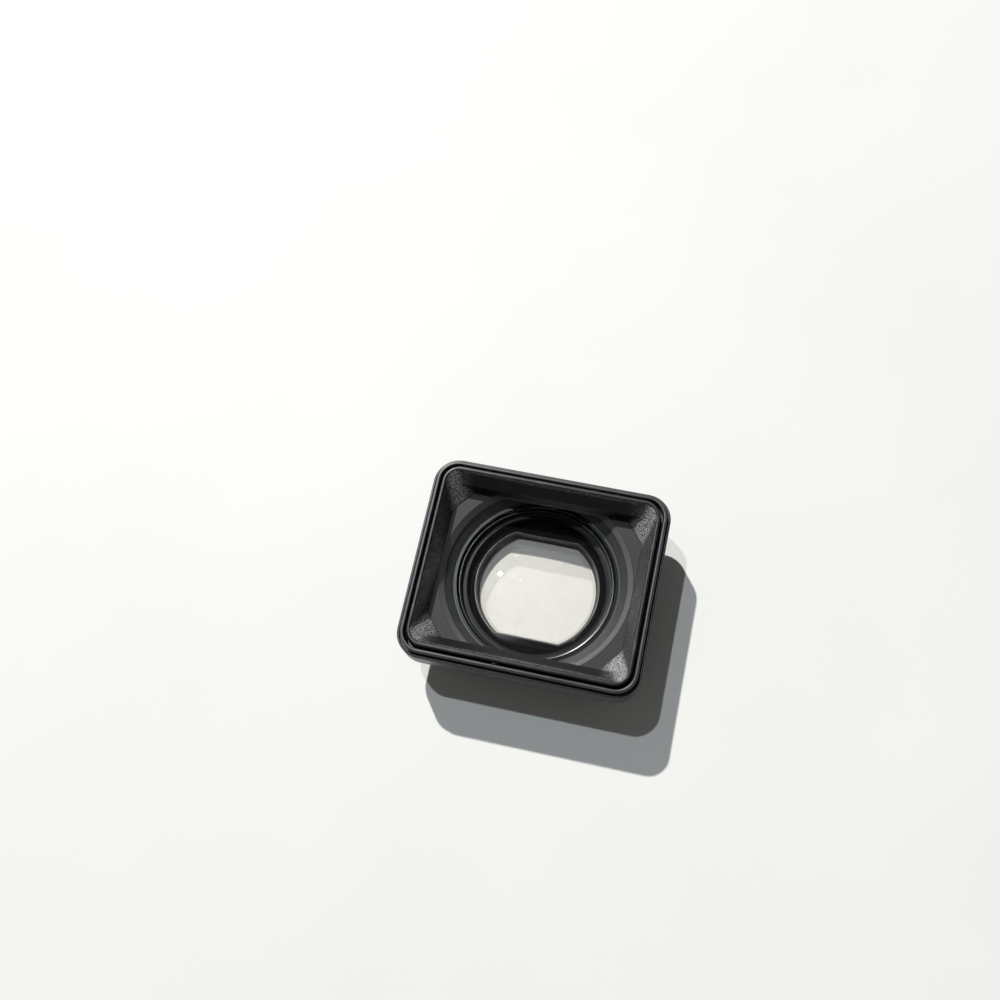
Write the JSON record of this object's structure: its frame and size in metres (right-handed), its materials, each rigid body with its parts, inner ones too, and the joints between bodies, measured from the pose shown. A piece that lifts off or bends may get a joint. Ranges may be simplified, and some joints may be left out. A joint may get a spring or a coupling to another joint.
{
  "type": "conversion lens",
  "caption": "Clip-on wide conversion lens with a rectangular flared hood, round stepped front glass and a magnetic rear seat with a flat-sided window.",
  "frame": {"origin": "centre of the rear seat, on the optical axis, at the face that touches the camera", "axes": "+Z along the optical axis out of the hood, +X along the hood's long side, +Y along its short side"},
  "size_m": [0.033, 0.0282, 0.0127],
  "materials": {
    "hood_moulding": "fine spark texture on the sloping walls, satin on the round steps",
    "bezel": "satin",
    "housing": "satin matte",
    "tape": "matte",
    "retaining_ring": "black anodised, bead blasted",
    "gloss_black": "gloss",
    "front_glass": "coated, clear",
    "rear_glass": "coated, clear",
    "seal_rubber": "matte",
    "barrel_metal": "black anodised",
    "shim_brass": "bright",
    "pad_rubber": "matte",
    "magnet_plating": "nickel plated",
    "steel": "plated"
  },
  "bodies": {
    "root": {"hood_insert": "hood_moulding", "front_bezel": "bezel", "main_housing": "housing", "bonding_tapes": "tape", "front_retaining_ring": "retaining_ring", "glass_seat_ring": "gloss_black", "front_element": "front_glass", "front_gasket": "seal_rubber", "aperture_mask": "gloss_black", "lens_barrel": "barrel_metal", "rear_cell": "barrel_metal", "rear_element": "rear_glass", "rear_lock_ring": "retaining_ring", "barrel_shim": "shim_brass", "rear_cover": "housing", "seat_pad": "pad_rubber", "magnets": "magnet_plating", "keeper_plates": "steel", "rear_screws": "steel", "locating_pins": "steel"}
  },
  "joints": []
}
